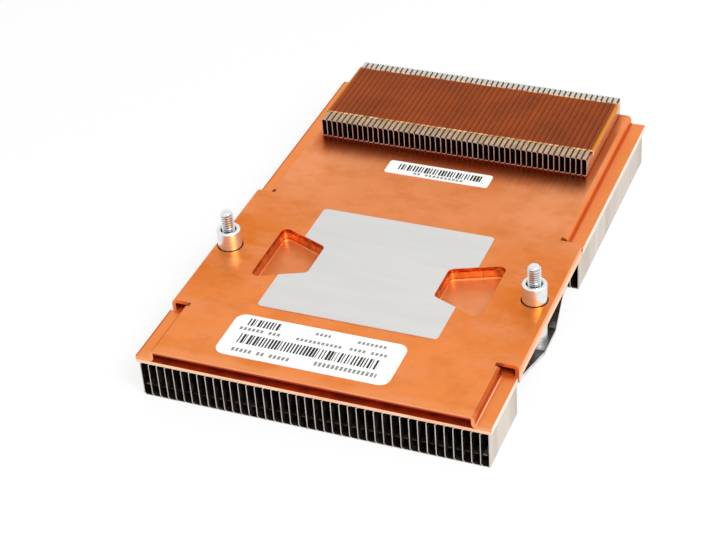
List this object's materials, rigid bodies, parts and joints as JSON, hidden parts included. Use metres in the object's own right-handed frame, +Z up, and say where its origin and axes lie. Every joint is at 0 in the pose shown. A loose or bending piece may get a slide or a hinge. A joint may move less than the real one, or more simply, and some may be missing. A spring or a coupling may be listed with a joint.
{
  "type": "passive server cpu heatsink",
  "caption": "Low passive heatsink with a stepped copper base, a long stack of folded aluminium fins, a second low fin stack on its contact face and two captive spring screws.",
  "frame": {"origin": "on the plane of the fin tips, under the middle of the plate", "axes": "+X across the fins, +Y along the air flow towards the second fin stack, +Z up out of the contact face"},
  "size_m": [0.095, 0.142, 0.0259],
  "materials": {
    "copper": "bare rolled copper, satin",
    "fin": "bare rolled sheet",
    "fin_plated": "plated, warm grey",
    "film": "amber insulating film",
    "pad": "grey thermal layer",
    "label": "smooth white sticker",
    "spring_steel": "bare strip",
    "zinc": "bright zinc plating"
  },
  "bodies": {
    "heatsink": {"base_sheet": "copper", "board_side_fins": "fin_plated", "cover_plate": "copper", "insulating_film": "film", "large_label": "label", "left_leaf_spring": "spring_steel", "main_fin_01": "fin", "main_fin_02": "fin", "main_fin_03": "fin", "main_fin_04": "fin", "main_fin_05": "fin", "main_fin_06": "fin", "main_fin_07": "fin", "main_fin_08": "fin", "main_fin_09": "fin", "main_fin_10": "fin", "main_fin_11": "fin", "main_fin_12": "fin", "main_fin_13": "fin", "main_fin_14": "fin", "main_fin_15": "fin", "main_fin_16": "fin", "main_fin_17": "fin", "main_fin_18": "fin", "main_fin_19": "fin", "main_fin_20": "fin", "main_fin_21": "fin", "main_fin_22": "fin", "main_fin_23": "fin", "main_fin_24": "fin", "main_fin_25": "fin", "main_fin_26": "fin", "main_fin_27": "fin", "main_fin_28": "fin", "main_fin_29": "fin", "main_fin_30": "fin", "main_fin_31": "fin", "main_fin_32": "fin", "main_fin_33": "fin", "main_fin_34": "fin", "main_fin_35": "fin", "main_fin_36": "fin", "main_fin_37": "fin", "main_fin_38": "fin", "main_fin_39": "fin", "main_fin_40": "fin", "main_fin_41": "fin", "main_fin_42": "fin", "right_leaf_spring": "spring_steel", "small_label": "label", "spreader_core": "copper", "thermal_pad": "pad"},
    "left_sleeve_body": {"left_sleeve": "zinc"},
    "left_screw_body": {"left_screw": "zinc"},
    "right_sleeve_body": {"right_sleeve": "zinc"},
    "right_screw_body": {"right_screw": "zinc"}
  },
  "joints": [
    {"name": "left_sleeve_slide", "type": "slide", "parent": "heatsink", "child": "left_sleeve_body", "axis": [0, 0, 1], "range_m": [0, 0.0017], "stiffness_N_per_m": 45000, "deforming": ["left_leaf_spring"]},
    {"name": "left_screw_turn", "type": "hinge", "parent": "left_sleeve_body", "child": "left_screw_body", "pos_m": [-0.043, -0.0224, 0.0025], "axis": [0, 0, 1], "continuous": true},
    {"name": "right_sleeve_slide", "type": "slide", "parent": "heatsink", "child": "right_sleeve_body", "axis": [0, 0, 1], "range_m": [0, 0.0017], "stiffness_N_per_m": 45000, "deforming": ["right_leaf_spring"]},
    {"name": "right_screw_turn", "type": "hinge", "parent": "right_sleeve_body", "child": "right_screw_body", "pos_m": [0.043, -0.0224, 0.0025], "axis": [0, 0, 1], "continuous": true}
  ]
}
